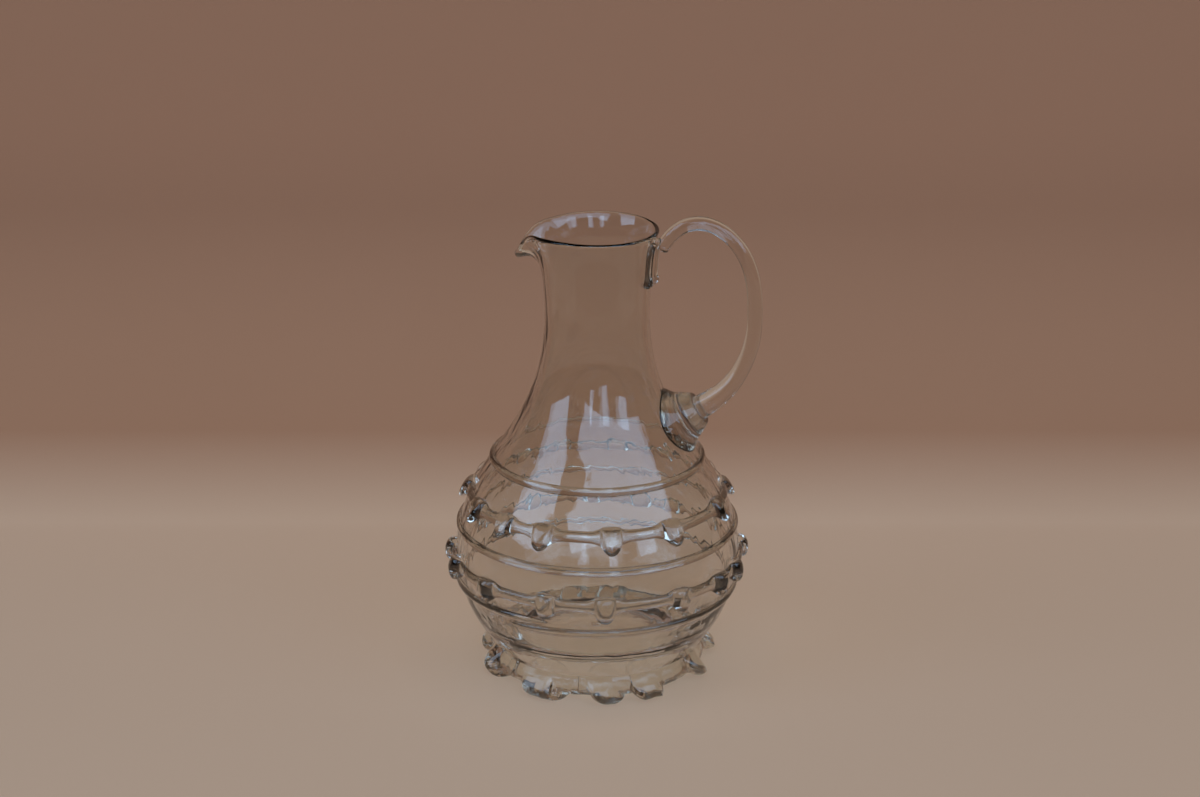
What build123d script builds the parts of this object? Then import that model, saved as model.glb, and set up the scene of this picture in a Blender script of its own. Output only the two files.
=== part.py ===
"""Hand-blown glass carafe with a drawn handle, plain threads and pinched trails.

Millimetres, +Z up. The origin is on the table, on the vessel's own axis. The handle
stands on +X and the pouring lip points to -X.
"""

from build123d import *
import os
from math import atan2, cos, degrees, exp, radians, sin

# Vessel: outside radii and the heights above the table where they lie
foot_height = 8.5
base_radius = 46.0
heel_radius, heel_height = 53.0, 12.5
thigh_radius, thigh_height = 63.0, 28.0
belly_radius, belly_height = 72.0, 60.0
shoulder_radius, shoulder_height = 59.3, 101.0
slope_radius, slope_height = 40.3, 131.0
rim_radius, rim_height = 30.8, 229.5
rim_to_flare = 13.5
flare_radius, flare_height = 28.4, rim_height - rim_to_flare
throat_radius, throat_share = 29.0, 0.341
throat_height = slope_height + (flare_height - slope_height) * throat_share
neck_radius, neck_share = 26.2, 0.671
neck_height = slope_height + (flare_height - slope_height) * neck_share

# Vessel: wall thickness and the pushed-up base
base_wall = 4.6
heel_wall = 3.4
body_wall = 2.2
kick_height = 5.0

# Pouring lip: a round channel pulled out of the rim and turned down
spout_reach = 40.0
spout_half_angle = 11.5
spout_sharpness = 0.7
rim_to_spout_root = 26.5
rim_to_spout_full = 12.5
spout_drop = 14.0
spout_middle_drop = 5.0
spout_bend_start = 21.0

# Plain threads: height of the middle of each, and their rounded section
shoulder_thread_height = 111.5
belly_thread_height = 76.5
lower_thread_height = 46.0
thread_half_height = 2.3
thread_proud = 2.0
lower_thread_rise = 5.0
lower_thread_start = -120.0
lower_thread_overlap = 18.0
lower_thread_tail = 10.0
lower_thread_tip = 0.2

# Pinched trails: the ribbon between the pinches and the flat toes that the tongs left
upper_trail_height = 92.5
lower_trail_height = 59.5
ribbon_half_height = 2.8
ribbon_proud = 2.2
toe_half_height = 6.2
toe_proud = 7.4
toe_thickness = 4.4
toe_droop = 12.0

# Pinches: angle of each about the vessel's axis, front ones first, as the tongs left them
upper_pinches = (-177, -148, -126, -106, -76, -48, -14, 13, 38, 63, 88, 114, 137, 160)
lower_pinches = (-174, -155, -130, -102, -79, -48, -26, -12, 13, 39, 64, 79, 100, 126, 154)
foot_pinches = (-149, -110, -76, -53, -15, 18, 52, 94, 118, 146, 178)

# Foot ring: a ribbon wound under the heel and pinched into feet
foot_ribbon_half_height = 3.6
foot_ribbon_proud = 10.6
foot_ribbon_dip = 64.0
foot_toe_half_height = 4.2
foot_toe_proud = 15.2
foot_toe_dip = 50.0

# Handle: the drawn rod, its radius at the foot, along the middle and at the top
handle_foot_radius = 6.6
handle_middle_radius = 3.9
handle_top_radius = 3.5

# Handle: pad pressed on the shoulder, collar on the pad, two lobes drawn down the neck
pad_height = 131.5
pad_lean = 33.0
pad_radius, pad_face_radius = 18.0, 12.6
pad_thickness = 6.5
collar_radius, collar_face_radius = 11.6, 7.4
collar_length = 7.0
collar_round = 1.2
rim_to_tab = 3.0
tab_length = 24.5
tab_lobe_radius = 3.4
tab_lobe_angles = (-15.0, -2.0)

# Handle: distance from the vessel's axis and height of the points that its rod passes
crown_over_rim = 4.6
handle_crown, handle_crown_height = 50.4, rim_height + crown_over_rim
handle_rise = handle_crown_height - pad_height
handle_knee, handle_knee_height = 72.5, pad_height + handle_rise * 0.292
handle_reach, handle_reach_height = 78.3, pad_height + handle_rise * 0.575
handle_shoulder, handle_shoulder_height = 66.5, pad_height + handle_rise * 0.926
rim_to_handle_end = 7.0

# Working values
TURN = 360.0
THREAD_STEP = 14.0

# Clearance of applied glass from the curve of the vessel under it
SEAT_GAP = 0.05

# Stations of half a pinch, from its middle to halfway to the next pinch: how far out in
# half thicknesses of the toe, then in shares of the way left, and how much the ribbon
# has swelled and drawn out there
BEAD_STEPS = (
    (0.0, 0.0, 1.0, 1.0),
    (0.5, 0.0, 0.97, 0.95),
    (0.85, 0.0, 0.92, 0.72),
    (1.1, 0.0, 0.86, 0.38),
    (1.5, 0.0, 0.76, 0.12),
    (2.2, 0.0, 0.58, 0.02),
    (2.2, 0.25, 0.33, 0.0),
    (2.2, 0.5, 0.14, 0.0),
    (2.2, 0.75, 0.03, 0.0),
    (2.2, 1.0, 0.0, 0.0),
)


def on_side(radius, height):
    """A point of the handle's plane, by its distance from the axis and its height."""
    return Vector(radius, 0, height)


# Outside of the vessel from the heel to the rim, one curve
outside = Spline(
    on_side(heel_radius, heel_height),
    on_side(thigh_radius, thigh_height),
    on_side(belly_radius, belly_height),
    on_side(shoulder_radius, shoulder_height),
    on_side(slope_radius, slope_height),
    on_side(throat_radius, throat_height),
    on_side(neck_radius, neck_height),
    on_side(flare_radius, flare_height),
    on_side(rim_radius, rim_height),
)

# Inside of the vessel: the outside moved in by the wall, thicker towards the heel
INSIDE_STATIONS = 14


def inside_point(share):
    along = outside % share
    inwards = Vector(-along.Z, 0, along.X).normalized()
    wall = body_wall + (heel_wall - body_wall) * (1 - share) ** 4
    return (outside @ share) + inwards * wall


inside = Spline(*[inside_point(k / (INSIDE_STATIONS - 1)) for k in range(INSIDE_STATIONS)])

# How far the lip's plain side lies inside the neck that it grows out of, and how far its
# solid runs on over the rim before it is cut
LIP_SINK = 0.5
LIP_OVERRUN = 2.0
LIP_STATIONS = 4
LIP_POINTS = 48

# Samples of the outside, from which the trails read the radius at a height
SAMPLES = 400
samples = [outside @ (k / SAMPLES) for k in range(SAMPLES + 1)]


def outside_radius(height):
    for low, high in zip(samples, samples[1:]):
        if low.Z <= height <= high.Z:
            return low.X + (high.X - low.X) * (height - low.Z) / (high.Z - low.Z)
    return samples[-1].X


# Full blank of the vessel, without its hollow
heel_start = on_side(base_radius, foot_height)
base_line = Spline(
    on_side(0, foot_height + kick_height),
    on_side(base_radius / 2, foot_height + kick_height / 3),
    heel_start,
    tangents=[(1, 0, 0), (1, 0, 0)],
)
heel_line = Line(heel_start, outside @ 0)
rim_line = Line(outside @ 1, on_side(0, rim_height))
axis_line = Line(on_side(0, rim_height), on_side(0, foot_height + kick_height))
blank = revolve(make_face([base_line, heel_line, outside, rim_line, axis_line]), Axis.Z)

# Hollow of the vessel, open at the rim
hollow_heel = inside @ 0
floor_edge = on_side(base_radius - heel_wall, foot_height + base_wall)
floor_line = Spline(
    on_side(0, foot_height + kick_height + base_wall),
    on_side(base_radius / 2, foot_height + kick_height / 3 + base_wall),
    floor_edge,
    tangents=[(1, 0, 0), (1, 0, 0)],
)
hollow_heel_line = Spline(
    floor_edge, hollow_heel, tangents=[(1, 0, 0), tuple(inside % 0)]
)
mouth_top = Line(inside @ 1, on_side(0, (inside @ 1).Z))
hollow_axis = Line(on_side(0, (inside @ 1).Z), on_side(0, foot_height + kick_height + base_wall))
hollow = revolve(
    make_face([floor_line, hollow_heel_line, inside, mouth_top, hollow_axis]), Axis.Z
)


def lip_section(height, reach, curve_radius):
    """Closed outline of the neck at one height, with the lip pulled out of it."""
    points = []
    for k in range(LIP_POINTS):
        turn = TURN * k / LIP_POINTS
        off = turn - TURN / 2
        pulled = reach * exp(-((off / spout_half_angle) ** 2) / 2)
        radius = curve_radius - LIP_SINK + pulled
        points.append((radius * cos(radians(turn)), radius * sin(radians(turn))))
    return Plane(origin=(0, 0, height)) * make_face(Spline(*points, periodic=True))


def lip(curve, wall):
    """The pulled lip of the outside, or of the hollow, as a loft of such outlines."""
    curve_samples = [curve @ (k / SAMPLES) for k in range(SAMPLES + 1)]
    root, full = rim_height - rim_to_spout_root, rim_height - rim_to_spout_full
    sections = []
    for k in range(LIP_STATIONS + 1):
        share = k / LIP_STATIONS
        height = root + wall + share * (full - root)
        radius = min(curve_samples, key=lambda point: abs(point.Z - height)).X
        reach = (spout_reach - wall - radius) * (1 - cos(radians(90 * share))) ** spout_sharpness
        sections.append(lip_section(height, reach + LIP_SINK * share, radius))
    top = rim_height + LIP_OVERRUN
    middle = (top + height) / 2
    end_reach = reach + LIP_SINK
    sections.append(lip_section(middle, end_reach, radius))
    sections.append(lip_section(top, end_reach, radius))
    return loft(sections)


def rim_cutter():
    """Everything above the rim, which runs level and then turns down along the lip."""
    bend = on_side(-spout_bend_start, rim_height)
    middle = on_side(-(spout_bend_start + spout_reach) / 2 - LIP_OVERRUN, rim_height - spout_middle_drop)
    tip = on_side(-spout_reach, rim_height - spout_drop)
    high = rim_height + spout_reach
    rim_side = Spline(bend, middle, tip, tangents=[(-1, 0, 0), (-0.51, 0, -0.86)])
    end = tip + rim_side % 1 * (3 * LIP_OVERRUN)
    outline = [
        Line(on_side(rim_radius * 2, rim_height), bend),
        rim_side,
        Line(rim_side @ 1, end),
        Line(end, on_side(end.X, high)),
        Line(on_side(end.X, high), on_side(rim_radius * 2, high)),
        Line(on_side(rim_radius * 2, high), on_side(rim_radius * 2, rim_height)),
    ]
    return extrude(make_face(outline), amount=spout_reach, both=True)


vessel = blank + lip(outside, 0.0)
hollow_all = hollow + lip(inside, body_wall)
body = vessel - hollow_all - rim_cutter()
vessel = vessel - rim_cutter()


def leaf(angle, radius, height, seat, out, half, proud):
    """Section of applied glass: flat where it lies on the vessel, round outside.

    The seat and out angles are directions in the upright plane through the axis.
    """
    turn = radians(angle)
    away = Vector(cos(turn), sin(turn), 0)
    up = Vector(0, 0, 1)
    middle = away * radius + up * height
    along = away * cos(radians(seat)) + up * sin(radians(seat))
    outwards = away * cos(radians(out)) + up * sin(radians(out))
    arc = [
        middle + along * (half * cos(radians(t))) + outwards * (proud * sin(radians(t)))
        for t in range(0, 181, 30)
    ]
    return make_face([Spline(*arc), Line(arc[-1], arc[0])])


def on_vessel(height):
    """Radius, height, seat angle and outward angle of the glass at a height."""
    below, above = outside_radius(height - 1), outside_radius(height + 1)
    seat = degrees(atan2(2, above - below))
    radius = outside_radius(height) + SEAT_GAP
    return radius, height, seat, seat - 90


def thread(height):
    """A plain thread of glass laid level round the vessel."""
    radius, height, seat, out = on_vessel(height)
    section = leaf(0, radius, height, seat, out, thread_half_height, thread_proud)
    return revolve(section, Axis.Z)


def wound_thread():
    """A thread whose end lies above its start, as it was wound on in one turn."""
    turn_of_thread = TURN + lower_thread_overlap
    stations = round(turn_of_thread / THREAD_STEP)
    sections = []
    for k in range(stations + 1):
        share = k / stations
        angle = lower_thread_start + turn_of_thread * share
        height = lower_thread_height + lower_thread_rise * (share - 0.5)
        from_end = turn_of_thread * min(share, 1 - share)
        full = min(1.0, from_end / lower_thread_tail) ** 0.5
        size = lower_thread_tip + (1 - lower_thread_tip) * full
        sections.append(
            leaf(angle, *on_vessel(height), thread_half_height * size, thread_proud * size)
        )
    return loft(sections)


def pinched_trail(pinches, place, ribbon, toe):
    """A ribbon round the vessel, swollen and drawn out into a flat toe at each pinch.

    The ribbon and the toe are each a half height, a proud measure and an out angle.
    """
    radius, height, seat = place
    edge = degrees(toe_thickness / 2 / radius)

    def section(angle, gap, side, near, far, swell, drawn):
        turn = angle + side * (edge * near + (gap / 2 - edge * near) * far)
        half = ribbon[0] + (toe[0] - ribbon[0]) * swell
        proud = ribbon[1] + (toe[1] - ribbon[1]) * drawn
        out = ribbon[2] + (toe[2] - ribbon[2]) * drawn
        return leaf(turn, radius, height, seat, out, half, proud)

    sections = []
    for before, angle, after in zip(
        (pinches[-1] - TURN,) + pinches, pinches, pinches[1:] + (pinches[0] + TURN,)
    ):
        for step in BEAD_STEPS[:0:-1]:
            sections.append(section(angle, angle - before, -1, *step))
        for step in BEAD_STEPS[:-1]:
            sections.append(section(angle, after - angle, 1, *step))
    middle = len(sections) // 2
    first_half = loft(sections[: middle + 1], ruled=True)
    other_half = loft(sections[middle:] + sections[:1], ruled=True)
    return first_half + other_half


def vessel_trail(pinches, height):
    """A pinched trail that lies on the vessel at a height."""
    radius, height, seat, out = on_vessel(height)
    ribbon = (ribbon_half_height, ribbon_proud, out)
    toe = (toe_half_height, toe_proud, -toe_droop)
    return pinched_trail(pinches, (radius, height, seat), ribbon, toe)


# Foot ring: it hangs from the heel and its toes are flat where they stand on the table
heel_rise = degrees(atan2(heel_height - foot_height, heel_radius - base_radius))
foot_place = (
    (base_radius + heel_radius) / 2 + SEAT_GAP,
    (foot_height + heel_height) / 2 - SEAT_GAP,
    heel_rise,
)
foot_leaf = pinched_trail(
    foot_pinches, foot_place,
    (foot_ribbon_half_height, foot_ribbon_proud, -foot_ribbon_dip),
    (foot_toe_half_height, foot_toe_proud, -foot_toe_dip),
)
above_table = Plane(origin=(0, 0, belly_height / 2)) * Box(
    belly_radius * 3, belly_radius * 3, belly_height
)
foot_ring = foot_leaf & above_table


def round_solid(centre, direction, stations):
    """A turned solid along an axis, from its distances along it and its radii there."""
    plane = Plane(origin=centre, x_dir=(0, 1, 0), z_dir=direction)
    points = [(radius, 0, along) for along, radius in stations]
    outline = Polyline((0, 0, stations[0][0]), *points, (0, 0, stations[-1][0]), close=True)
    turned = revolve(make_face(outline), Axis.Z)
    return plane * turned


# Foot of the handle: a pad pressed on the shoulder and a collar on the pad's face
pad_centre = on_side(outside_radius(pad_height), pad_height)
pad_out = Vector(cos(radians(pad_lean)), 0, sin(radians(pad_lean)))
pad = round_solid(
    pad_centre, pad_out,
    [(-pad_radius, pad_radius), (0, pad_radius), (pad_thickness, pad_face_radius)],
)
handle_pad = pad - vessel
collar = round_solid(
    pad_centre, pad_out,
    [(pad_thickness, collar_radius), (pad_thickness + collar_length, collar_face_radius)],
)
handle_collar = fillet(collar.edges().filter_by(GeomType.CIRCLE), collar_round)

# Handle: circles along one curve from the collar over the crown to the neck
rod_foot = pad_centre + pad_out * (pad_thickness + collar_length)
handle_end_height = rim_height - rim_to_handle_end
rod_end = on_side(outside_radius(handle_end_height) + tab_lobe_radius, handle_end_height)
rod = Spline(
    rod_foot,
    on_side(handle_knee, handle_knee_height),
    on_side(handle_reach, handle_reach_height),
    on_side(handle_shoulder, handle_shoulder_height),
    on_side(handle_crown, handle_crown_height),
    rod_end,
    tangents=[tuple(pad_out), (-0.6, 0, -0.8)],
    tangent_scalars=[1.2, 0.8],
)
ROD_STATIONS = 20


def rod_radius(share):
    """Thick where the rod leaves the collar, and nearly even above."""
    foot = handle_foot_radius - handle_middle_radius
    thinning = handle_middle_radius - handle_top_radius
    return handle_middle_radius + foot * (1 - share) ** 7 - thinning * share


rod_sections = []
for k in range(ROD_STATIONS + 1):
    share = k / ROD_STATIONS
    plane = Plane(origin=rod @ share, x_dir=(0, 1, 0), z_dir=rod % share)
    rod_sections.append(plane * Circle(rod_radius(share)))
rod_solid = loft(rod_sections)

# Top of the handle: the rod's end pressed on the neck, folded down into two lobes
tab_lobes = []
tab_top = rim_height - rim_to_tab
lobe_heights = (tab_top - tab_length + tab_lobe_radius, tab_top - tab_lobe_radius)
for angle in tab_lobe_angles:
    ends = [Rot(Z=angle) * Pos(outside_radius(z), 0, z) for z in lobe_heights]
    tab_lobes.append(loft([end * Circle(tab_lobe_radius) for end in ends]))
    tab_lobes += [end * Sphere(tab_lobe_radius) for end in ends]
handle_tab = tab_lobes[0].fuse(*tab_lobes[1:]) - vessel
handle = (rod_solid - vessel - handle_tab).solids().sort_by(SortBy.VOLUME)[-1]

parts = {
    "body": body,
    "shoulder_thread": thread(shoulder_thread_height),
    "belly_thread": thread(belly_thread_height),
    "lower_thread": wound_thread(),
    "upper_pinched_trail": vessel_trail(upper_pinches, upper_trail_height),
    "lower_pinched_trail": vessel_trail(lower_pinches, lower_trail_height),
    "foot_ring": foot_ring,
    "handle_pad": handle_pad,
    "handle_collar": handle_collar,
    "handle_tab": handle_tab,
    "handle": handle,
}
for name, part in parts.items():
    print(name, round(part.volume), len(part.solids()), part.is_valid)
    export_step(part, f"parts/{name}.step")
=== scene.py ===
"""Hand-blown glass carafe on a sheet of sand-coloured paper, lit by tall soft windows.

Metres, in the frame of the CAD part: +Z up, the handle on +X and the pouring lip on -X.
"""

import math

import bpy
import numpy as np
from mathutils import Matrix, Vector


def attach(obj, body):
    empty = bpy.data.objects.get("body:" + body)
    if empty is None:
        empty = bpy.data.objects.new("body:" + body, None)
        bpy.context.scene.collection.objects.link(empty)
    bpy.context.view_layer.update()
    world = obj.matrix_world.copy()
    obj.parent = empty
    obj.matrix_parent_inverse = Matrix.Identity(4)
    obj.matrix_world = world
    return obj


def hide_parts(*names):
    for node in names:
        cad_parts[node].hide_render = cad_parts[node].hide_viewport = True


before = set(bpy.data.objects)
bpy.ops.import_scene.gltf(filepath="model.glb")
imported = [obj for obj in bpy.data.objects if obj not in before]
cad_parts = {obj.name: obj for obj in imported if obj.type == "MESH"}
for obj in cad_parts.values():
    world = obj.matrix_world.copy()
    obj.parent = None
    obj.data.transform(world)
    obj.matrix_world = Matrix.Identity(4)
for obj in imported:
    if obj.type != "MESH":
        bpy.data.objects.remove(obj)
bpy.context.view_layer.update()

MM = 0.001


# Camera. A long lens 1.4 m away, looking 20 degrees down, a little to the right of the
# carafe's own front, so that the handle comes slightly forward.
camera_azimuth, camera_elevation = math.radians(8), math.radians(19.95)
camera_distance, lens_length, sensor_width = 1.4, 84, 36
look_right, look_height = 1.35 * MM, 0.141
light_bounces, mirror_bounces = 24, 8
camera_right = Vector((math.cos(camera_azimuth), math.sin(camera_azimuth), 0))
camera_back = Vector((
    math.sin(camera_azimuth) * math.cos(camera_elevation),
    -math.cos(camera_azimuth) * math.cos(camera_elevation),
    math.sin(camera_elevation),
))
look_at = camera_right * look_right + Vector((0, 0, look_height))
camera_data = bpy.data.cameras.new("camera")
camera_data.lens, camera_data.sensor_width = lens_length, sensor_width
camera = bpy.data.objects.new("camera", camera_data)
camera.location = look_at + camera_back * camera_distance
camera.rotation_euler = camera_back.to_track_quat("Z", "Y").to_euler()
bpy.context.scene.collection.objects.link(camera)
bpy.context.scene.camera = camera
bpy.context.scene.view_settings.view_transform = "Standard"
bpy.context.scene.cycles.max_bounces = light_bounces
bpy.context.scene.cycles.transmission_bounces = light_bounces
bpy.context.scene.cycles.glossy_bounces = mirror_bounces


# Paper. One sheet of matt sand-coloured paper lies on the table and curves up behind the
# carafe. Its colour is painted paler on the table (painted light) and darker and browner in
# the bend and where it stands up (painted shade). A camera that is behind it looks through it.
class Graph:
    """Adds nodes to a shader or geometry tree."""

    def __init__(self, tree):
        self.tree = tree

    def node(self, kind, settings=None, inputs=None):
        """A new node: its settings are set first, then its inputs by name or index."""
        node = self.tree.nodes.new(kind)
        for name, value in (settings or {}).items():
            setattr(node, name, value)
        for key, value in (inputs or {}).items():
            socket = node.inputs[key]
            if isinstance(value, Term):
                self.tree.links.new(value.socket, socket)
            else:
                socket.default_value = value
        return node

    def term(self, kind, settings=None, inputs=None, output=0):
        """One output of a new node, ready for sums."""
        return Term(self, self.node(kind, settings, inputs).outputs[output])


class Term:
    """A socket that takes part in plain Python sums."""

    def __init__(self, graph, socket):
        self.graph, self.socket = graph, socket

    def maths(self, operation, *others):
        values = dict(enumerate((self,) + others))
        return self.graph.term("ShaderNodeMath", {"operation": operation}, values)

    def flipped(self, operation, other):
        values = {0: other, 1: self}
        return self.graph.term("ShaderNodeMath", {"operation": operation}, values)

    def __add__(self, other):
        return self.maths("ADD", other)

    def __sub__(self, other):
        return self.maths("SUBTRACT", other)

    def __mul__(self, other):
        return self.maths("MULTIPLY", other)

    def __truediv__(self, other):
        return self.maths("DIVIDE", other)

    def __pow__(self, other):
        return self.maths("POWER", other)

    def __rsub__(self, other):
        return self.flipped("SUBTRACT", other)

    def __rtruediv__(self, other):
        return self.flipped("DIVIDE", other)

    def __rpow__(self, other):
        return self.flipped("POWER", other)

    def __neg__(self):
        return self * -1.0

    __radd__, __rmul__ = __add__, __mul__


def new_material(name):
    """An empty node material, with its graph and its output node."""
    material = bpy.data.materials.new(name)
    material.use_nodes = True
    material.node_tree.nodes.clear()
    graph = Graph(material.node_tree)
    return material, graph, graph.node("ShaderNodeOutputMaterial")


def place(graph):
    """The object coordinates, in metres."""
    return graph.term("ShaderNodeTexCoord", output="Object")


def mixed(graph, factor, low, high):
    """A colour between two others."""
    return graph.term(
        "ShaderNodeMix", {"data_type": "RGBA"}, {"Factor": factor, "A": low, "B": high}, "Result"
    )


paper_width, paper_front, paper_flat_behind = 1.05, 0.32, 0.165
paper_bend, paper_height, bend_steps = 0.15, 0.36, 24
# Painted light and shade: the paper is painted paler on the table, and darker and browner in the
# bend and up the wall, for how the light falls there.
paper_table_painted_light_colour = (0.61, 0.405, 0.268, 1)
paper_bend_painted_shade_colour = (0.36, 0.18, 0.10, 1)
paper_wall_painted_shade_colour = (0.42, 0.203, 0.113, 1)
bend_shade_from, bend_shade_to = 0.025, 0.17
wall_shade_from, wall_shade_to = 0.05, 0.2

paper_line = [(-paper_front, 0.0), (0.0, 0.0)]
for k in range(bend_steps + 1):
    turn = math.radians(90 * k / bend_steps)
    paper_line.append((
        paper_flat_behind + paper_bend * math.sin(turn), paper_bend * (1 - math.cos(turn))
    ))
paper_line.append((paper_line[-1][0], paper_height))
paper_away = Vector((-math.sin(camera_azimuth), math.cos(camera_azimuth), 0))
paper_points, paper_faces = [], []
for distance, height in paper_line:
    for side in (-0.5, 0.5):
        point = paper_away * distance + camera_right * (side * paper_width)
        paper_points.append((point.x, point.y, height))
for k in range(len(paper_line) - 1):
    paper_faces.append((2 * k, 2 * k + 1, 2 * k + 3, 2 * k + 2))
paper_mesh = bpy.data.meshes.new("paper")
paper_mesh.from_pydata(paper_points, [], paper_faces)
paper_mesh.shade_smooth()
paper = bpy.data.objects.new("paper", paper_mesh)
bpy.context.scene.collection.objects.link(paper)

paper_material, graph, output = new_material("sand paper")
position = place(graph)
height = graph.term("ShaderNodeSeparateXYZ", inputs={0: position}, output=2)
fibres = graph.term("ShaderNodeTexNoise", inputs={"Vector": position, "Scale": 900.0})
clouds = graph.term("ShaderNodeTexNoise", inputs={"Vector": position, "Scale": 2.5})
# Painted shade: these masks darken the paper's colour through the bend and up the part that
# stands up.
bend_shade_mask = graph.term("ShaderNodeMapRange", inputs={
    0: height ** 0.5, 1: bend_shade_from, 2: bend_shade_to,
})
wall_shade_mask = graph.term("ShaderNodeMapRange", inputs={
    0: height, 1: wall_shade_from, 2: wall_shade_to,
})
# The paper's colour, with painted light on the table and painted shade in the bend and on the
# wall.
wall_painted_shade = mixed(graph, wall_shade_mask, paper_bend_painted_shade_colour, paper_wall_painted_shade_colour)
painted_light_and_shade_tone = mixed(graph, bend_shade_mask, paper_table_painted_light_colour, wall_painted_shade)
shade = 0.97 + fibres * 0.03 + clouds * 0.04
coloured = graph.term(
    "ShaderNodeVectorMath", {"operation": "SCALE"}, {0: painted_light_and_shade_tone, "Scale": shade}
)
paper_shader = graph.node("ShaderNodeBsdfPrincipled", inputs={
    "Base Color": coloured, "Roughness": 0.85 + clouds * 0.1, "Specular IOR Level": 0.2,
})
seen_through = graph.node("ShaderNodeBsdfTransparent")
from_behind = (
    graph.term("ShaderNodeNewGeometry", output="Backfacing")
    * graph.term("ShaderNodeLightPath", output="Is Camera Ray")
)
sheet = graph.node("ShaderNodeMixShader", inputs={"Fac": from_behind})
graph.tree.links.new(paper_shader.outputs[0], sheet.inputs[1])
graph.tree.links.new(seen_through.outputs[0], sheet.inputs[2])
graph.tree.links.new(sheet.outputs[0], output.inputs[0])
paper_mesh.materials.append(paper_material)


# Table. A plain matt table top under the paper, of nearly the same colour. The camera
# never sees it from the front, but the thick glass does.
table_size, table_depth = 6.0, 0.0008
table_dark, table_light = (0.40, 0.25, 0.15, 1), (0.46, 0.30, 0.19, 1)
table_mesh = bpy.data.meshes.new("table")
table_mesh.from_pydata([
    (x * table_size / 2, y * table_size / 2, -table_depth)
    for x, y in ((-1, -1), (1, -1), (1, 1), (-1, 1))
], [], [(0, 1, 2, 3)])
table = bpy.data.objects.new("table", table_mesh)
bpy.context.scene.collection.objects.link(table)
table_material, graph, output = new_material("table top")
grain = graph.term("ShaderNodeTexNoise", inputs={"Vector": place(graph), "Scale": 6.0})
table_shader = graph.node("ShaderNodeBsdfPrincipled", inputs={
    "Base Color": mixed(graph, grain, table_dark, table_light),
    "Roughness": 0.8 + grain * 0.1, "Specular IOR Level": 0.2,
})
graph.tree.links.new(table_shader.outputs[0], output.inputs[0])
table_mesh.materials.append(table_material)


# Windows and room. Daylight comes through one wide and one narrow window in front of the
# carafe, through three gaps under the wide one, and from a skylight over it. The rest of
# the room is dim.
room_colour, room_strength = (0.60, 0.45, 0.34, 1), 0.08
backdrop_colour, backdrop_strength = (0.26, 0.17, 0.12, 1), 1.0
window_colour, skylight_colour = (0.47, 0.70, 1.0), (1.0, 0.90, 0.80)
lit_height = 0.12


def window(name, azimuth, elevation, distance, width, height, radiance, colour=window_colour):
    """A soft lamp that faces the carafe, by its direction as seen from the carafe."""
    data = bpy.data.lights.new(name, "AREA")
    data.shape = "RECTANGLE"
    data.size, data.size_y = width, height
    data.color = colour
    data.energy = radiance * width * height * math.pi
    lamp = bpy.data.objects.new(name, data)
    turn, tip = math.radians(azimuth), math.radians(elevation)
    direction = Vector((
        math.sin(turn) * math.cos(tip), -math.cos(turn) * math.cos(tip), math.sin(tip)
    ))
    lamp.location = Vector((0, 0, lit_height)) + direction * distance
    lamp.rotation_euler = direction.to_track_quat("Z", "Y").to_euler()
    bpy.context.scene.collection.objects.link(lamp)
    return lamp


window("narrow window", -59, 32, 2.6, 1.5, 1.9, 2.9)
window("wide window", 33, 38, 2.6, 5.2, 1.3, 2.7)
window("left gap", -3, 19, 2.7, 0.22, 0.8, 2.7)
window("middle gap", 21, 18, 2.7, 0.38, 0.9, 2.7)
window("right gap", 52, 20, 2.7, 0.65, 0.7, 2.7)
skylight = window("skylight", 18, 84, 2.8, 2.4, 1.6, 2.0, skylight_colour)
skylight.visible_glossy = skylight.visible_transmission = False

world = bpy.data.worlds.new("room")
world.use_nodes = True
world.node_tree.nodes.clear()
graph = Graph(world.node_tree)
dim_room = graph.node(
    "ShaderNodeBackground", inputs={"Color": room_colour, "Strength": room_strength}
)
backdrop = graph.node(
    "ShaderNodeBackground", inputs={"Color": backdrop_colour, "Strength": backdrop_strength}
)
seen = graph.node("ShaderNodeMixShader", inputs={
    "Fac": graph.term("ShaderNodeLightPath", output="Is Camera Ray"),
})
world_output = graph.node("ShaderNodeOutputWorld")
graph.tree.links.new(dim_room.outputs[0], seen.inputs[1])
graph.tree.links.new(backdrop.outputs[0], seen.inputs[2])
graph.tree.links.new(seen.outputs[0], world_output.inputs[0])
bpy.context.scene.world = world


# Body. One bubble of very pale smoky soda glass, blown thin, with a pushed-up base, a tall
# neck and a lip pulled out of the hot rim. Its wall is a little uneven, as blown glass is.
def curve_through(points, step):
    """Points along a smooth curve through the given ones, a step apart."""
    points = np.array(points, float)
    chord = np.r_[0, np.cumsum(np.linalg.norm(np.diff(points, axis=0), axis=1))]
    count, gaps = len(points), np.diff(chord)
    system, right = np.eye(count), np.zeros_like(points)
    for k in range(1, count - 1):
        system[k, k - 1:k + 2] = gaps[k - 1], 2 * (gaps[k - 1] + gaps[k]), gaps[k]
        right[k] = 6 * (
            (points[k + 1] - points[k]) / gaps[k] - (points[k] - points[k - 1]) / gaps[k - 1]
        )
    bend = np.linalg.solve(system, right)
    at = np.linspace(0, chord[-1], max(2, int(chord[-1] / step)))
    k = np.clip(np.searchsorted(chord, at) - 1, 0, count - 2)
    left, wide = (at - chord[k])[:, None], gaps[k][:, None]
    rest = wide - left
    return (
        (bend[k] * rest ** 3 + bend[k + 1] * left ** 3) / (6 * wide)
        + (points[k] / wide - bend[k] * wide / 6) * rest
        + (points[k + 1] / wide - bend[k + 1] * wide / 6) * left
    )


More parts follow.
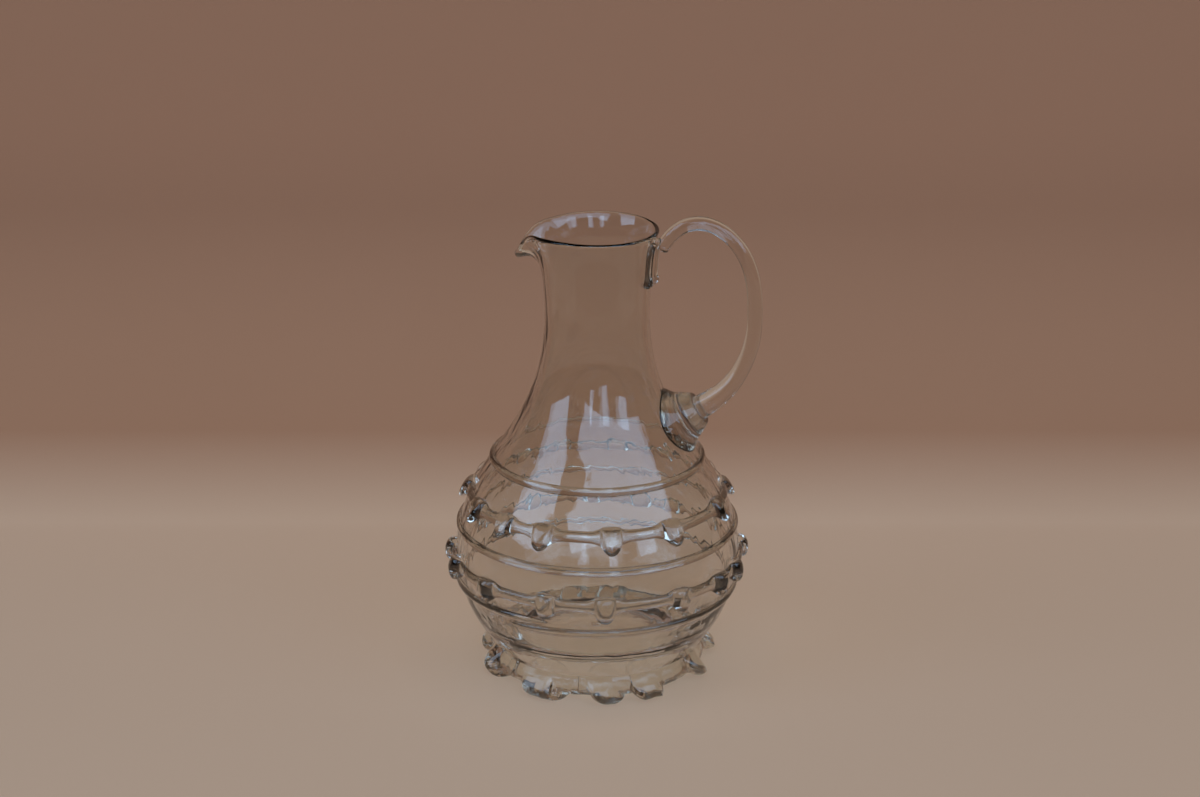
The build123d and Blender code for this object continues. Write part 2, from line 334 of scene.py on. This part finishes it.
def softened(line, step, reach):
    """A line with its corners rounded: evenly spaced points, each a mean of its neighbours."""
    length = np.r_[0, np.cumsum(np.linalg.norm(np.diff(line, axis=0), axis=1))]
    at = np.linspace(0, length[-1], int(length[-1] / step))
    even = np.column_stack([np.interp(at, length, line[:, k]) for k in range(line.shape[1])])
    side = int(3 * reach / step)
    weights = np.exp(-((np.arange(-side, side + 1) * step / reach) ** 2) / 2)
    weights /= weights.sum()
    start = 2 * even[0] - even[side:0:-1]
    finish = 2 * even[-1] - even[-2:-side - 2:-1]
    long = np.vstack([start, even, finish])
    return np.column_stack([
        np.convolve(long[:, k], weights, "valid") for k in range(line.shape[1])
    ])


def spaced(line, count):
    """The same line with a given number of evenly spaced points."""
    length = np.r_[0, np.cumsum(np.linalg.norm(np.diff(line, axis=0), axis=1))]
    at = np.linspace(0, length[-1], count)
    return np.column_stack([np.interp(at, length, line[:, k]) for k in range(line.shape[1])])


def skin(name, rings, poles=True):
    """A closed mesh over rings of points that run from one pole to the other."""
    rings = np.asarray(rings)
    if poles:
        first, last = rings[0].mean(axis=0), rings[-1].mean(axis=0)
        rings = rings[1:-1]
    levels, around = rings.shape[:2]
    index = np.arange(levels * around).reshape(levels, around)
    ahead = np.roll(index, -1, axis=1)
    faces = np.stack([index[:-1], ahead[:-1], ahead[1:], index[1:]], -1).reshape(-1, 4).tolist()
    points = rings.reshape(-1, 3).tolist()
    if poles:
        points += [first.tolist(), last.tolist()]
        low, high = len(points) - 2, len(points) - 1
        faces += [(low, int(b), int(a)) for a, b in zip(index[0], ahead[0])]
        faces += [(high, int(a), int(b)) for a, b in zip(index[-1], ahead[-1])]
    mesh = bpy.data.meshes.new(name)
    mesh.from_pydata((np.array(points) * MM).tolist(), [], faces)
    mesh.shade_smooth()
    piece = bpy.data.objects.new(name, mesh)
    bpy.context.scene.collection.objects.link(piece)
    return piece


def blown_glass(name, pale, deep, waves, wave_size, stretch=(1, 1, 1)):
    """Clear glass: a pale tint that varies, waves in its surface, and a light shadow."""
    material, graph, output = new_material(name)
    position = place(graph)
    long = graph.term("ShaderNodeMapping", inputs={"Vector": position, "Scale": stretch})
    slow = graph.term("ShaderNodeTexNoise", inputs={"Vector": position, "Scale": 14.0})
    wave = graph.term("ShaderNodeTexNoise", inputs={
        "Vector": long, "Scale": wave_size, "Detail": 1.0, "Distortion": 0.3,
    })
    tint = mixed(graph, slow, pale, deep)
    bump = graph.term("ShaderNodeBump", inputs={
        "Height": wave, "Strength": waves, "Distance": MM,
    })
    glass = graph.node("ShaderNodeBsdfPrincipled", inputs={
        "Base Color": tint, "Roughness": slow * 0.012, "IOR": 1.5,
        "Transmission Weight": 1.0, "Normal": bump,
    })
    clear = graph.node("ShaderNodeBsdfTransparent", inputs={"Color": (0.93, 0.91, 0.88, 1)})
    shadow = graph.term("ShaderNodeLightPath", output="Is Shadow Ray")
    both = graph.node("ShaderNodeMixShader", inputs={"Fac": shadow})
    graph.tree.links.new(glass.outputs[0], both.inputs[1])
    graph.tree.links.new(clear.outputs[0], both.inputs[2])
    graph.tree.links.new(both.outputs[0], output.inputs[0])
    return material


heel_start, heel = (46.0, 8.5), (53.0, 12.5)
outside_points = [
    heel, (63.0, 28.0), (72.0, 60.0), (59.3, 101.0), (40.3, 131.0), (29.0, 160.0),
    (26.2, 188.0), (27.4, 212.0), (28.6, 222.5), (30.8, 229.5),
]
wall, heel_wall, base_wall, lip_wall = 2.2, 2.9, 3.8, 4.2
kick_height, pontil_radius, pontil_height, pontil_width = 5.0, 6.5, 0.8, 1.1
floor_radius, floor_blend = heel_start[0] - 12, 4.0
base_wobble, side_wobble, inner_wobble, floor_wobble = 0.03, 0.09, -0.06, 0.02
wobbles = ((1, 2, 45, 0), (0.6, 3, -37, 2), (0.25, 11, 60, 0), (0.15, 23, 80, 0))
spout_turn, spout_width, spout_shoulders = math.pi, math.radians(10.8), math.radians(27)
spout_out, spout_out_wide, spout_down, spout_down_wide = 4.0, 4.5, 13.8, 2.8
spout_root, spout_rise = 202.5, 27.0
around_count, outside_count, inside_count, base_count, rim_count = 232, 150, 120, 26, 9

side_line = curve_through(outside_points, 0.25)
base_radii = np.linspace(0, heel_start[0], 120)
base_heights = heel_start[1] + kick_height * (1 + np.cos(np.pi * base_radii / heel_start[0])) / 2
pontil = pontil_height * np.exp(-(((base_radii - pontil_radius) / pontil_width) ** 2))
base_line = np.column_stack([base_radii, base_heights - pontil])
floor_line = np.column_stack([
    np.linspace(0, floor_radius, 120),
    base_wall + heel_start[1] + kick_height * (
        1 + np.cos(np.pi * np.linspace(0, 1, 120))
    ) / 2,
])


def vessel_radius(height):
    """Outside radius of the vessel at a height, both in millimetres."""
    return np.interp(height, side_line[:, 1], side_line[:, 0])


crowd = np.linspace(0, 2 * np.pi, 2001)
density = 1 + 2.4 * np.exp(-(((crowd - spout_turn) / 0.55) ** 2))
share = np.cumsum(density)
share = (share - share[0]) / (share[-1] - share[0])
turns = np.interp(np.arange(around_count) / around_count, share, crowd)


def blown(line, wobble):
    """Rings of a turned line, a little out of true, with the lip pulled out of them."""
    radius, height = line[:, :1], line[:, 1:]
    lip = np.exp(-(((turns - spout_turn) / spout_width) ** 2) / 2)[None, :]
    wide = np.exp(-(((turns - spout_turn) / spout_shoulders) ** 2) / 2)[None, :]
    up = np.clip((height - spout_root) / spout_rise, 0, 1)
    uneven = np.clip(radius / 30, 0, 1) * wobble * sum(
        size * np.sin(count * turns + height / length + shift)
        for size, count, length, shift in wobbles
    )
    out = radius + uneven + (spout_out * lip + spout_out_wide * wide) * up ** 1.6
    level = height - (spout_down * lip ** 1.4 + spout_down_wide * wide) * up ** 2.25
    return np.stack([out * np.cos(turns), out * np.sin(turns), level + 0 * out], -1)


outer_line = softened(np.vstack([base_line, side_line]), 0.25, 1.0)
outer_side = outer_line[outer_line[:, 1] > heel[1] + 0.01]
outer_side = outer_side[np.argmax(outer_side[:, 0] > heel[0]):]
outer_base = outer_line[: len(outer_line) - len(outer_side)]
outer_side = outer_side[outer_side[:, 1] < outside_points[-1][1] - wall / 2]
outer_rings = np.concatenate([
    blown(spaced(outer_base, base_count)[:-1], base_wobble),
    blown(spaced(outer_side, outside_count), side_wobble),
])
side_rings = blown(spaced(outer_side, inside_count), inner_wobble)
along = np.gradient(side_rings, axis=0)
across = np.roll(side_rings, -1, axis=1) - np.roll(side_rings, 1, axis=1)
facing = np.cross(across, along)
facing /= np.linalg.norm(facing, axis=2, keepdims=True)
low = np.linspace(0, 1, inside_count)[:, None, None]
lip_here = np.exp(-(((turns - spout_turn) / (2 * spout_width)) ** 2))[None, :, None]
thick = wall + (heel_wall - wall) * (1 - low) ** 5 + (lip_wall - wall) * low ** 12 * lip_here
inner_side = side_rings - facing * thick
inner_edge = np.column_stack([
    np.hypot(inner_side[:, 0, 0], inner_side[:, 0, 1]), inner_side[:, 0, 2]
])
inner_line = softened(np.vstack([floor_line, inner_edge[8:]]), 0.25, floor_blend)
joins = np.argmax(inner_line[:, 1] > inner_edge[14, 1])
inner_base = blown(spaced(inner_line[:joins], base_count + 10), floor_wobble)
rim_outer, rim_inner = outer_rings[-1], inner_side[-1]
rim_middle, rim_half = (rim_outer + rim_inner) / 2, (rim_outer - rim_inner) / 2
rim_up = along[-1] / np.linalg.norm(along[-1], axis=1, keepdims=True)
rim_tall = np.linalg.norm(rim_half, axis=1, keepdims=True) * 1.05
rim_rings = [
    rim_middle + rim_half * math.cos(t) + rim_up * rim_tall * math.sin(t)
    for t in np.linspace(0, math.pi, rim_count)[1:-1]
]
body = skin("body_glass", np.concatenate([
    outer_rings, rim_rings, inner_side[:14:-1], inner_base[::-1]
]))
body.data.materials.append(blown_glass(
    "vessel glass", (0.92, 0.90, 0.865, 1), (0.87, 0.85, 0.81, 1), 0.17, 26.0,
    stretch=(6, 6, 1.2),
))
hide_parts("body")
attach(body, "root")


# Shoulder thread. A thin thread of the same glass, laid hot and level round the shoulder
# and melted on to the wall, so it is round outside and flat underneath.
size_range = 20.0
toe_roundness, trail_thinning = 0.62, 0.12


def wound_tree():
    """The rule that winds a ribbon round the vessel and pinches it where points are given.

    A flat grid is rolled into a tube: one way round the vessel, the other round its section.
    """
    tree = bpy.data.node_groups.new("wound glass", "GeometryNodeTree")
    graph = Graph(tree)
    face = tree.interface
    face.new_socket("Pinches", in_out="INPUT", socket_type="NodeSocketGeometry")
    for name, value in (
        ("Start", 0.0), ("Turn", 6.2831853), ("Radius", 0.05), ("Height", 0.1), ("Rise", 0.0),
        ("Slope", 0.0), ("Seat Angle", 1.5707963), ("Out Angle", 0.0),
        ("Half Height", 0.0023), ("Proud", 0.002), ("Toe Half Height", 0.006),
        ("Toe Proud", 0.007), ("Toe Out Angle", 0.0), ("Toe Thickness", 0.004),
        ("Swell Width", 0.007), ("Pinched", 0.0), ("Sink", 0.00025), ("Curve Radius", 10.0),
        ("Tail", 0.0), ("Waver", 0.0), ("Twist", 0.0), ("Table", -1.0), ("Square", 1.0),
        ("Bulge", 0.0), ("Thin Behind", 0.0),
    ):
        socket = face.new_socket(name, in_out="INPUT", socket_type="NodeSocketFloat")
        socket.default_value = value
    for name, value in (("Stations", 400), ("Section Points", 24)):
        socket = face.new_socket(name, in_out="INPUT", socket_type="NodeSocketInt")
        socket.default_value = value
    face.new_socket("Material", in_out="INPUT", socket_type="NodeSocketMaterial")
    face.new_socket("Glass", in_out="OUTPUT", socket_type="NodeSocketGeometry")
    group = graph.node("NodeGroupInput")
    given = {socket.name: Term(graph, socket) for socket in group.outputs if socket.name}

    grid = graph.node("GeometryNodeMeshGrid", inputs={
        "Size X": 1.0, "Size Y": 1.0,
        "Vertices X": given["Stations"], "Vertices Y": given["Section Points"],
    })
    where = graph.term("GeometryNodeInputPosition")
    flat = graph.node("ShaderNodeSeparateXYZ", inputs={0: where})
    share = Term(graph, flat.outputs[0]) + 0.5
    section = (0.5 - Term(graph, flat.outputs[1])) * (2 * math.pi)
    turn = given["Start"] + given["Turn"] * share
    cosine, sine = turn.maths("COSINE"), turn.maths("SINE")

    on_circle = graph.term("ShaderNodeCombineXYZ", inputs={0: cosine, 1: sine})
    nearest = graph.term("GeometryNodeSampleNearest", {"domain": "POINT"}, {
        0: given["Pinches"], 1: on_circle,
    })
    pinch_place = graph.term("GeometryNodeInputPosition")
    pinch = graph.term(
        "GeometryNodeSampleIndex", {"data_type": "FLOAT_VECTOR", "domain": "POINT"},
        {0: given["Pinches"], 1: pinch_place, 2: nearest},
    )
    pinch_parts = graph.node("ShaderNodeSeparateXYZ", inputs={0: pinch})
    pinch_x, pinch_y = Term(graph, pinch_parts.outputs[0]), Term(graph, pinch_parts.outputs[1])
    size = Term(graph, pinch_parts.outputs[2]) * size_range + 1.0
    beside = (pinch_x * sine - pinch_y * cosine).maths("ARCSINE")
    height_share = section.maths("COSINE")
    aside = beside * given["Radius"] + height_share * given["Twist"]
    away = aside.maths("ABSOLUTE")
    across = (away / (given["Toe Thickness"] * size)).maths("MINIMUM", 1.0)
    drawn = (1.0 - across * across) ** toe_roundness
    swell = 2.718 ** -((away / (given["Swell Width"] * size)) ** 3)
    drawn = (drawn * given["Pinched"] * size).maths("MINIMUM", 1.04)
    swell = (swell * given["Pinched"] * size).maths("MINIMUM", 1.1)

    ends = share.maths("MINIMUM", 1.0 - share) * given["Turn"] * given["Radius"]
    endless = 1.0 - (given["Tail"] * 1e6).maths("MINIMUM", 1.0)
    taper = (ends / (given["Tail"] + 1e-6) + endless).maths("MINIMUM", 1.0) ** 0.5
    waver = graph.term("ShaderNodeTexNoise", inputs={
        "Vector": on_circle, "Scale": 3.1, "Detail": 1.0,
    }) - 0.5
    thin = graph.term("ShaderNodeTexNoise", inputs={
        "Vector": on_circle, "Scale": 7.3, "Detail": 1.0,
    }) - 0.5

    rise = given["Rise"] * (share - 0.5)
    radius = given["Radius"] + given["Slope"] * (rise + waver * given["Waver"])
    height = given["Height"] + rise + waver * given["Waver"]
    half = given["Half Height"] + (given["Toe Half Height"] - given["Half Height"]) * swell
    proud = given["Proud"] + (given["Toe Proud"] - given["Proud"]) * drawn
    out = given["Out Angle"] + (given["Toe Out Angle"] - given["Out Angle"]) * drawn
    behind = 1.0 - given["Thin Behind"] * (sine * 0.5 + 0.5)
    full = taper * (1.0 + thin * trail_thinning) * behind
    rounded = section.maths("SINE")
    upper = rounded.maths("MAXIMUM", 0.0) ** given["Square"]
    under = rounded.maths("MINIMUM", 0.0)
    reach = height_share * half * full * (1.0 + upper * given["Bulge"] * drawn)
    lift = upper * proud * full
    sunk = under * given["Sink"] * taper - reach * reach / (given["Curve Radius"] * 2.0)
    seat = given["Seat Angle"]
    facing = seat - math.pi / 2
    radius = (
        radius + reach * seat.maths("COSINE") + lift * out.maths("COSINE")
        + sunk * facing.maths("COSINE")
    )
    height = (
        height + reach * seat.maths("SINE") + lift * out.maths("SINE")
        + sunk * facing.maths("SINE")
    ).maths("MAXIMUM", given["Table"])
    rolled = graph.term("ShaderNodeCombineXYZ", inputs={
        0: radius * cosine, 1: radius * sine, 2: height,
    })
    placed = graph.term("GeometryNodeSetPosition", inputs={
        "Geometry": Term(graph, grid.outputs[0]), "Position": rolled,
    })
    joined = graph.term("GeometryNodeMergeByDistance", inputs={
        "Geometry": placed, "Distance": 1e-6,
    })
    smooth = graph.term("GeometryNodeSetShadeSmooth", inputs={"Geometry": joined})
    real = graph.term("GeometryNodeRealizeInstances", inputs={"Geometry": smooth})
    dressed = graph.term("GeometryNodeSetMaterial", inputs={
        "Geometry": real, "Material": given["Material"],
    })
    result = graph.node("NodeGroupOutput")
    tree.links.new(dressed.socket, result.inputs[0])
    return tree


wound = wound_tree()


def grown(name, tree, start, values):
    """The plain mesh that a geometry tree makes of a starting mesh, with its inputs set."""
    holder = bpy.data.objects.new(name, start)
    bpy.context.scene.collection.objects.link(holder)
    modifier = holder.modifiers.new("grow", "NODES")
    modifier.node_group = tree
    for item in tree.interface.items_tree:
        if item.in_out == "INPUT" and item.name in values:
            modifier[item.identifier] = values[item.name]
    bpy.context.view_layer.update()
    result = bpy.data.meshes.new_from_object(
        holder.evaluated_get(bpy.context.evaluated_depsgraph_get())
    )
    holder.modifiers.clear()
    holder.data = result
    result.name = name
    return holder


def seat_values(height):
    """Where glass laid on the vessel at a height sits, and how the wall slopes there."""
    radius = float(vessel_radius(height))
    slope = float(vessel_radius(height + 1) - vessel_radius(height - 1)) / 2
    bend = float(vessel_radius(height + 6) + vessel_radius(height - 6)) / 2 - radius
    seat = math.atan2(1, slope)
    return {
        "Radius": radius * MM, "Height": height * MM, "Slope": slope,
        "Seat Angle": seat, "Out Angle": seat - math.pi / 2,
        "Curve Radius": 18 / max(-bend * math.sin(seat) ** 3, 0.02) * MM,
    }


def pinch_mesh(name, degrees, sizes):
    """A point on the unit circle for each pinch: its height tells how large the toe is."""
    mesh = bpy.data.meshes.new(name)
    mesh.from_pydata([
        (math.cos(math.radians(a)), math.sin(math.radians(a)), s / size_range)
        for a, s in zip(degrees, sizes)
    ], [], [])
    return mesh


trail_glass = blown_glass(
    "trail glass", (0.90, 0.88, 0.84, 1), (0.84, 0.81, 0.76, 1), 0.2, 90.0
)
thread_shape = {
    "Half Height": 2.3 * MM, "Proud": 2.0 * MM, "Thin Behind": 0.4, "Material": trail_glass,
}
no_pinches = pinch_mesh("no pinches", (0,), (0,))
shoulder_thread_height = 111.5
shoulder_thread = grown("shoulder_thread_glass", wound, no_pinches, {
    **seat_values(shoulder_thread_height), **thread_shape, "Waver": 0.3 * MM, "Stations": 500,
})
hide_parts("shoulder_thread")
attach(shoulder_thread, "root")


# Belly thread. The same kind of thread of the same glass, laid hot round the belly
# between the two pinched trails.
belly_thread_height = 76.5
belly_thread = grown("belly_thread_glass", wound, no_pinches, {
    **seat_values(belly_thread_height), **thread_shape, "Waver": 0.3 * MM, "Stations": 600,
})
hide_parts("belly_thread")
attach(belly_thread, "root")


# Lower thread. The same glass, wound on in a little more than one turn, so its end lies
# above its start at the front left, and both ends run out thin.
lower_thread_height, lower_thread_rise = 46.0, 5.0
lower_thread_start, lower_thread_turn, lower_thread_tail = -120.0, 378.0, 12.0
lower_thread = grown("lower_thread_glass", wound, no_pinches, {
    **seat_values(lower_thread_height), **thread_shape,
    "Start": math.radians(lower_thread_start), "Turn": math.radians(lower_thread_turn),
    "Rise": lower_thread_rise * MM, "Tail": lower_thread_tail * MM, "Stations": 640,
})
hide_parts("lower_thread")
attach(lower_thread, "root")


# Upper pinched trail. A heavier ribbon of hot glass wound on above the belly, then nipped
# with tongs every few centimetres into round toes that stand out and droop a little.
upper_trail_height = 92.5
upper_pinches = (-177, -148, -126, -106, -76, -48, -14, 13, 38, 63, 88, 114, 137, 160)
upper_sizes = (
    0.0, 0.05, -0.06, 0.02, 0.04, 0.06, 0.1, -0.04, 0.05, -0.05, 0.03, -0.06, 0.04, 0.0,
)
pinched_shape = {
    "Half Height": 2.9 * MM, "Proud": 2.3 * MM, "Toe Half Height": 5.2 * MM,
    "Toe Proud": 6.8 * MM, "Toe Out Angle": math.radians(-12), "Swell Width": 6.2 * MM,
    "Pinched": 1.0, "Waver": 0.8 * MM, "Square": 0.7, "Bulge": 0.7, "Thin Behind": 0.3,
    "Section Points": 33, "Material": trail_glass,
}
upper_trail = grown("upper_pinched_trail_glass", wound, pinch_mesh(
    "upper pinches", upper_pinches, upper_sizes
), {
    **seat_values(upper_trail_height), **pinched_shape,
    "Toe Thickness": 4.9 * MM, "Stations": 1500,
})
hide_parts("upper_pinched_trail")
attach(upper_trail, "root")


# Lower pinched trail. A second ribbon of the same glass, wound and nipped in the same way
# on the belly's widest part, with its toes a little closer together.
lower_trail_height = 59.5
lower_pinches = (-174, -155, -130, -102, -79, -48, -26, -12, 13, 39, 64, 79, 100, 126, 154)
lower_sizes = (
    0.0, 0.05, 0.02, -0.05, 0.06, -0.04, 0.05, 0.0, 0.06, -0.05, 0.02, 0.04, -0.04, 0.0, 0.0,
)
lower_trail = grown("lower_pinched_trail_glass", wound, pinch_mesh(
    "lower pinches", lower_pinches, lower_sizes
), {
    **seat_values(lower_trail_height), **pinched_shape,
    "Toe Thickness": 4.8 * MM, "Stations": 1600,
})
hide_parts("lower_pinched_trail")
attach(lower_trail, "root")


# Foot ring. The thickest ribbon, of a slightly darker glass, wound under the heel as a
# skirt and pinched into twisted toes. The carafe stands on the flats of the toes.
foot_pinches = (-149, -110, -76, -53, -15, 18, 52, 94, 118, 146, 178)
foot_sizes = (0.05, 0.5, 0.15, 0.35, 0.05, 0.2, 0.1, 0.3, 0.05, 0.25, 0.1)
foot_glass = blown_glass(
    "foot glass", (0.86, 0.83, 0.77, 1), (0.72, 0.68, 0.60, 1), 0.4, 80.0
)
foot_seat = math.atan2(heel[1] - heel_start[1], heel[0] - heel_start[0])
foot_ring = grown("foot_ring_glass", wound, pinch_mesh(
    "foot pinches", foot_pinches, foot_sizes
), {
    "Radius": (heel[0] + heel_start[0]) / 2 * MM, "Height": (heel[1] + heel_start[1]) / 2 * MM,
    "Seat Angle": foot_seat, "Out Angle": math.radians(-64),
    "Half Height": 3.5 * MM, "Proud": 8.6 * MM, "Toe Half Height": 4.6 * MM, "Bulge": 0.5,
    "Toe Proud": 13.6 * MM, "Toe Out Angle": math.radians(-47), "Toe Thickness": 5.2 * MM,
    "Swell Width": 6.5 * MM, "Pinched": 1.0, "Twist": 4.6 * MM, "Table": 0.0, "Square": 0.75,
    "Sink": 0.4 * MM, "Stations": 1200, "Section Points": 33, "Material": foot_glass,
})
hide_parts("foot_ring")
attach(foot_ring, "root")


# Handle pad. A thick gather of the same glass pressed flat on the shoulder and flared
# where it meets the wall. The rod was drawn out of it.
pad_height, pad_lean = 131.5, math.radians(33)
pad_radius, pad_face_radius, pad_thickness = 18.0, 12.6, 6.5
pad_out = np.array([math.cos(pad_lean), 0, math.sin(pad_lean)])
pad_up = np.array([-math.sin(pad_lean), 0, math.cos(pad_lean)])
pad_side = np.array([0.0, 1.0, 0.0])
pad_centre = np.array([float(vessel_radius(pad_height)), 0, pad_height])


def on_shoulder(points):
    """Slides points along the pad's axis on to the outside of the vessel."""
    near, far = np.full(points.shape[:-1], -40.0), np.full(points.shape[:-1], 40.0)
    for _ in range(50):
        middle = (near + far) / 2
        at = points + pad_out * middle[..., None]
        inside = np.hypot(at[..., 0], at[..., 1]) < vessel_radius(at[..., 2])
        near, far = np.where(inside, middle, near), np.where(inside, far, middle)
    return near


pad_turns = np.linspace(0, 2 * np.pi, 97)[:-1]
pad_spokes = np.cos(pad_turns)[:, None] * pad_side + np.sin(pad_turns)[:, None] * pad_up
pad_rings = []
sink, pad_flare, pad_edge_round, pad_bulge, pad_under = 0.25, 1.7, 0.6, 0.5, 0.8
for reach in np.linspace(0, 1, 14)[:-1]:
    flat = pad_centre + pad_spokes * (pad_radius - pad_under) * reach
    pad_rings.append(flat + pad_out * (on_shoulder(flat) - sink)[:, None])
edge_seat = on_shoulder(pad_centre + pad_spokes * pad_radius)
for t in np.linspace(0, 1, 16):
    reach = pad_face_radius + (pad_radius - pad_face_radius) * (1 - t) ** pad_flare
    reach -= pad_edge_round * (1 - t) ** 12
    lift = (edge_seat - sink) * (1 - t) + pad_thickness * t + pad_bulge * math.sin(math.pi * t)
    pad_rings.append(pad_centre + pad_spokes * reach + pad_out * lift[:, None])
for t in np.linspace(0, 1, 10)[1:]:
    bulge = pad_bulge * math.sin(math.pi / 2 * t)
    pad_rings.append(
        pad_centre + pad_spokes * pad_face_radius * (1 - t) + pad_out * (pad_thickness + bulge)
    )
handle_glass = blown_glass(
    "handle glass", (0.92, 0.895, 0.85, 1), (0.85, 0.82, 0.77, 1), 0.08, 60.0
)
handle_pad = skin("handle_pad_glass", np.array(pad_rings))
handle_pad.data.materials.append(handle_glass)
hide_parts("handle_pad")
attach(handle_pad, "root")


# Handle collar. A short round shoulder of solid glass where the rod leaves the pad. It
# was pulled up together with the rod, and fire polishing rounded both its ends.
collar_radius, collar_waist, collar_top, collar_height, collar_seat = 11.6, 11.9, 8.4, 7.2, -0.3
collar_line = softened(np.array([
    (0, collar_seat), (collar_radius, collar_seat), (collar_waist, 1.5),
    (collar_top, collar_height), (0, collar_height),
], float), 0.15, 0.7)
collar_line[0, 0] = collar_line[-1, 0] = 0
handle_collar = skin("handle_collar_glass", np.array([
    pad_centre + pad_spokes * reach + pad_out * (pad_thickness + lift)
    for reach, lift in spaced(collar_line, 44)
]))
handle_collar.data.materials.append(handle_glass)
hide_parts("handle_collar")
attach(handle_collar, "root")


# Handle tab. The end of the drawn rod, folded down on the neck in two strands that each
# end in a small drop.
strands = []
tab_top, tab_bottom, tab_angles, tab_radius = 226.3, 202.4, (-19.0, -2.0), 3.0
drop_size, drop_at, drop_length, tab_waist = 0.22, 0.1, 0.09, 0.12
tab_flatness, tab_narrowness, tab_under, tab_stations, tab_sides = 12, 0.93, -0.12, 60, 40
for angle in tab_angles:
    turn = math.radians(angle)
    away = np.array([math.cos(turn), math.sin(turn), 0])
    beside = np.array([-math.sin(turn), math.cos(turn), 0])
    strand_rings = []
    for t in np.linspace(0, 1, tab_stations):
        height = tab_bottom + (tab_top - tab_bottom) * t
        end = math.sqrt(max(0.0, 1 - (2 * t - 1) ** tab_flatness))
        drop = drop_size * math.exp(-((t - drop_at) / drop_length) ** 2)
        size = tab_radius * end * (1 + drop - tab_waist * math.sin(math.pi * t))
        centre = away * (float(vessel_radius(height)) + sink) + np.array([0, 0, height])
        strand_rings.append([
            centre + away * max(math.cos(a), tab_under) * size
            + beside * math.sin(a) * size * tab_narrowness
            for a in np.linspace(0, 2 * math.pi, tab_sides + 1)[:-1]
        ])
    strands.append(skin(f"strand{angle}", np.array(strand_rings)))
handle_tab = strands[0]
with bpy.context.temp_override(
    active_object=handle_tab, selected_editable_objects=strands
):
    bpy.ops.object.join()
handle_tab.name = handle_tab.data.name = "handle_tab_glass"
handle_tab.data.materials.append(handle_glass)
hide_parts("handle_tab")
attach(handle_tab, "root")


# Handle. One rod drawn from the collar out and up in a loop, over the rim's height and down
# on to the neck. It is thick at its foot and nearly even above.
rod_unevenness, rod_waves, rod_end_steepness = 0.06, 9.0, 90.0


def rod_tree():
    """The rule for a round rod along a line, thickest at its start."""
    tree = bpy.data.node_groups.new("drawn rod", "GeometryNodeTree")
    graph = Graph(tree)
    face = tree.interface
    face.new_socket("Line", in_out="INPUT", socket_type="NodeSocketGeometry")
    for name, value in (("Foot", 0.0066), ("Middle", 0.0039), ("Top", 0.0035), ("Draw", 7.0)):
        face.new_socket(name, in_out="INPUT", socket_type="NodeSocketFloat").default_value = value
    for name, value in (("Stations", 200), ("Sides", 40)):
        face.new_socket(name, in_out="INPUT", socket_type="NodeSocketInt").default_value = value
    face.new_socket("Material", in_out="INPUT", socket_type="NodeSocketMaterial")
    face.new_socket("Glass", in_out="OUTPUT", socket_type="NodeSocketGeometry")
    group = graph.node("NodeGroupInput")
    given = {socket.name: Term(graph, socket) for socket in group.outputs if socket.name}
    line = graph.term("GeometryNodeMeshToCurve", inputs={0: given["Line"]})
    even = graph.term("GeometryNodeResampleCurve", inputs={
        "Curve": line, "Count": given["Stations"],
    })
    share = graph.term("GeometryNodeSplineParameter")
    waver = graph.term("ShaderNodeTexNoise", {"noise_dimensions": "1D"}, {
        "W": share, "Scale": rod_waves, "Detail": 1.0,
    }) - 0.5
    radius = (
        given["Middle"] + (given["Foot"] - given["Middle"]) * (1.0 - share) ** given["Draw"]
        - (given["Middle"] - given["Top"]) * share
    ) * (1.0 + waver * rod_unevenness)
    ends = (share.maths("MINIMUM", 1.0 - share) * rod_end_steepness).maths("MINIMUM", 1.0)
    closing = (1.0 - (1.0 - ends) ** 2.0) ** 0.5
    sized = graph.term("GeometryNodeSetCurveRadius", inputs={
        "Curve": even, "Radius": radius * closing,
    })
    ring = graph.term("GeometryNodeCurvePrimitiveCircle", inputs={
        "Resolution": given["Sides"], "Radius": 1.0,
    })
    rod = graph.term("GeometryNodeCurveToMesh", inputs={
        "Curve": sized, "Profile Curve": ring, "Scale": graph.term("GeometryNodeInputRadius"),
    })
    joined = graph.term("GeometryNodeMergeByDistance", inputs={"Geometry": rod, "Distance": 1e-6})
    smooth = graph.term("GeometryNodeSetShadeSmooth", inputs={"Geometry": joined})
    real = graph.term("GeometryNodeRealizeInstances", inputs={"Geometry": smooth})
    dressed = graph.term("GeometryNodeSetMaterial", inputs={
        "Geometry": real, "Material": given["Material"],
    })
    result = graph.node("NodeGroupOutput")
    tree.links.new(dressed.socket, result.inputs[0])
    return tree


rod_foot = pad_centre + pad_out * (pad_thickness + 4.5)
rod_leaves = pad_centre + pad_out * (pad_thickness + 9.5)
rod_points = curve_through([
    (rod_foot[0], 0, rod_foot[2]), (rod_leaves[0], 0, rod_leaves[2]), (64.2, 0, 148.8),
    (72.5, 0, 161.5), (77.3, 0, 176.5), (78.15, 0, 190.5), (75.2, 0, 212), (66.5, 0, 226.5),
    (50.4, 0, 234.1), (39.5, 0, 230.3), (31.2, 0, 219.5),
], 0.8)
rod_mesh = bpy.data.meshes.new("rod line")
rod_mesh.from_pydata(
    (rod_points * MM).tolist(), [(k, k + 1) for k in range(len(rod_points) - 1)], []
)
handle = grown("handle_glass_rod", rod_tree(), rod_mesh, {
    "Foot": 6.6 * MM, "Middle": 3.9 * MM, "Top": 3.45 * MM, "Material": handle_glass,
})
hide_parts("handle")
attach(handle, "root")
